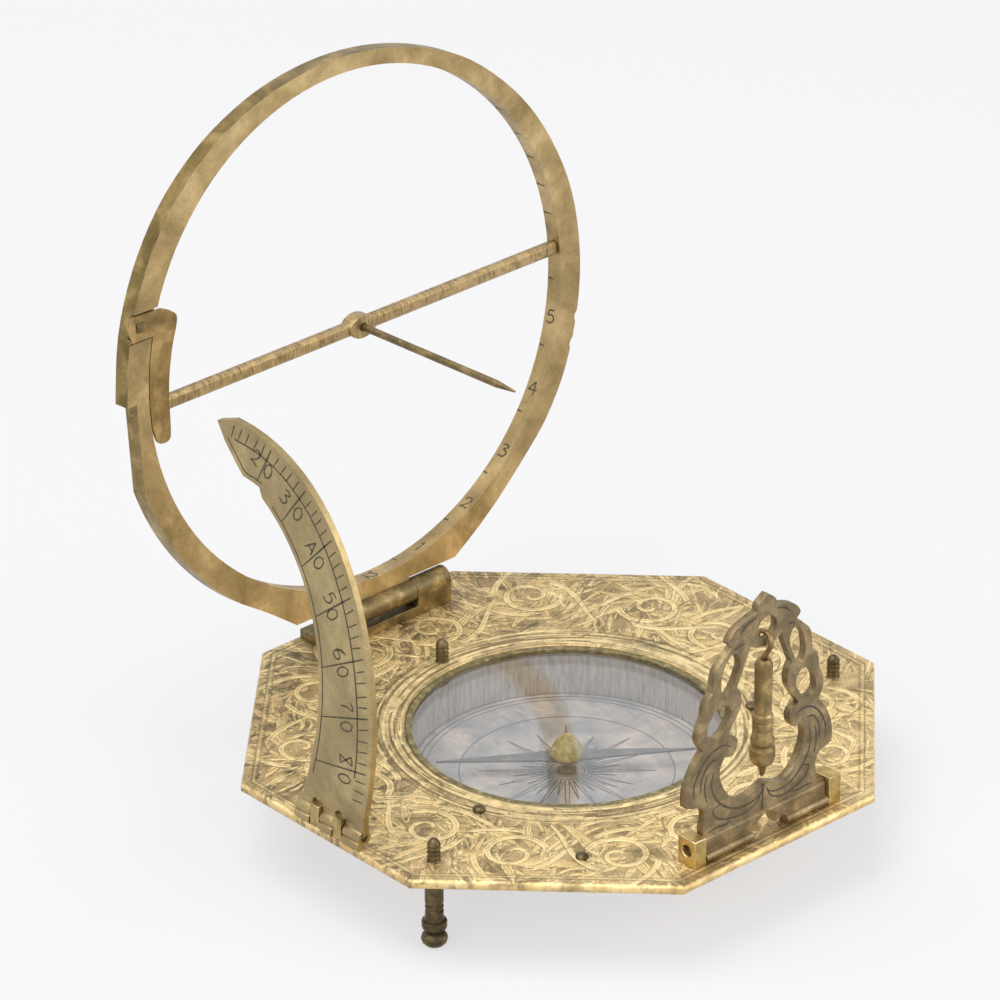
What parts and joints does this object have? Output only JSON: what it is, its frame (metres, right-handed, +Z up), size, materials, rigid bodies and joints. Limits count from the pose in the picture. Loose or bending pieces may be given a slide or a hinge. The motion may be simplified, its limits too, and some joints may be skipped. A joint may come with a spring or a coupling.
{
  "type": "pocket sundial",
  "caption": "Folding equinoctial pocket sundial in gilt brass: octagonal plate with sunk compass on turned feet, hinged hour ring with gnomon bar, latitude arc and plummet frame.",
  "frame": {"origin": "centre of the compass box's flat underside", "axes": "+Z up, at right angles to the plate; the hour ring's hinge is on the +Y side, the plummet frame on the -Y side and the latitude arc on the -X side"},
  "size_m": [0.0602, 0.0626, 0.0677],
  "materials": {
    "gilt_plate": "engraved and fire-gilt, worn",
    "brass": "satin, tarnished",
    "pale_brass": "satin",
    "dark_brass": "dark patina",
    "silvered_dial": "silvered, printed with a rose",
    "blued_steel": "blued",
    "glass": "clear"
  },
  "bodies": {
    "base": {"base_plate": "gilt_plate", "compass_box": "brass", "compass_dial": "silvered_dial", "compass_glass": "glass", "glass_ring": "dark_brass", "needle_pivot": "pale_brass", "foot_1": "dark_brass", "foot_2": "dark_brass", "foot_3": "dark_brass", "box_rivet_1": "dark_brass", "box_rivet_2": "dark_brass", "plate_rivet": "dark_brass", "ring_hinge_leaf": "brass", "ring_hinge_pin": "dark_brass", "arc_post_1": "pale_brass", "arc_post_2": "pale_brass", "arc_hinge_pin": "dark_brass", "frame_block_left": "pale_brass", "frame_block_right": "pale_brass", "frame_pin_left": "dark_brass", "frame_pin_right": "dark_brass"},
    "ring": {"hour_ring": "brass", "gnomon_spring": "brass", "spring_rivet": "dark_brass", "bar_pivot_left": "dark_brass", "bar_pivot_right": "dark_brass"},
    "gnomon": {"gnomon_bar": "brass", "gnomon_pin": "brass"},
    "arc": {"latitude_arc": "brass"},
    "frame": {"plummet_frame": "brass"},
    "bob": {"plumb_bob": "brass", "bob_hook": "brass"},
    "needle": {"compass_needle": "blued_steel", "needle_cap": "pale_brass"}
  },
  "joints": [
    {"name": "ring_fold", "type": "hinge", "parent": "base", "child": "ring", "pos_m": [0, 0.0266, 0.0088], "axis": [1, 0, 0], "range_deg": [0, 61]},
    {"name": "gnomon_turn", "type": "hinge", "parent": "ring", "child": "gnomon", "pos_m": [0, 0.03017, 0.03744], "axis": [1, 0, 0], "continuous": true},
    {"name": "arc_fold", "type": "hinge", "parent": "base", "child": "arc", "pos_m": [-0.0292, 0, 0.0074], "axis": [0, 1, 0], "range_deg": [0, 90]},
    {"name": "frame_fold", "type": "hinge", "parent": "base", "child": "frame", "pos_m": [0, -0.02635, 0.0079], "axis": [-1, 0, 0], "range_deg": [0, 90]},
    {"name": "bob_swing", "type": "hinge", "parent": "frame", "child": "bob", "pos_m": [0, -0.02635, 0.0264], "axis": [-1, 0, 0], "range_deg": [-40, 40]},
    {"name": "needle_spin", "type": "hinge", "parent": "base", "child": "needle", "pos_m": [0, 0, 0.003], "axis": [0, 0, 1], "continuous": true}
  ]
}
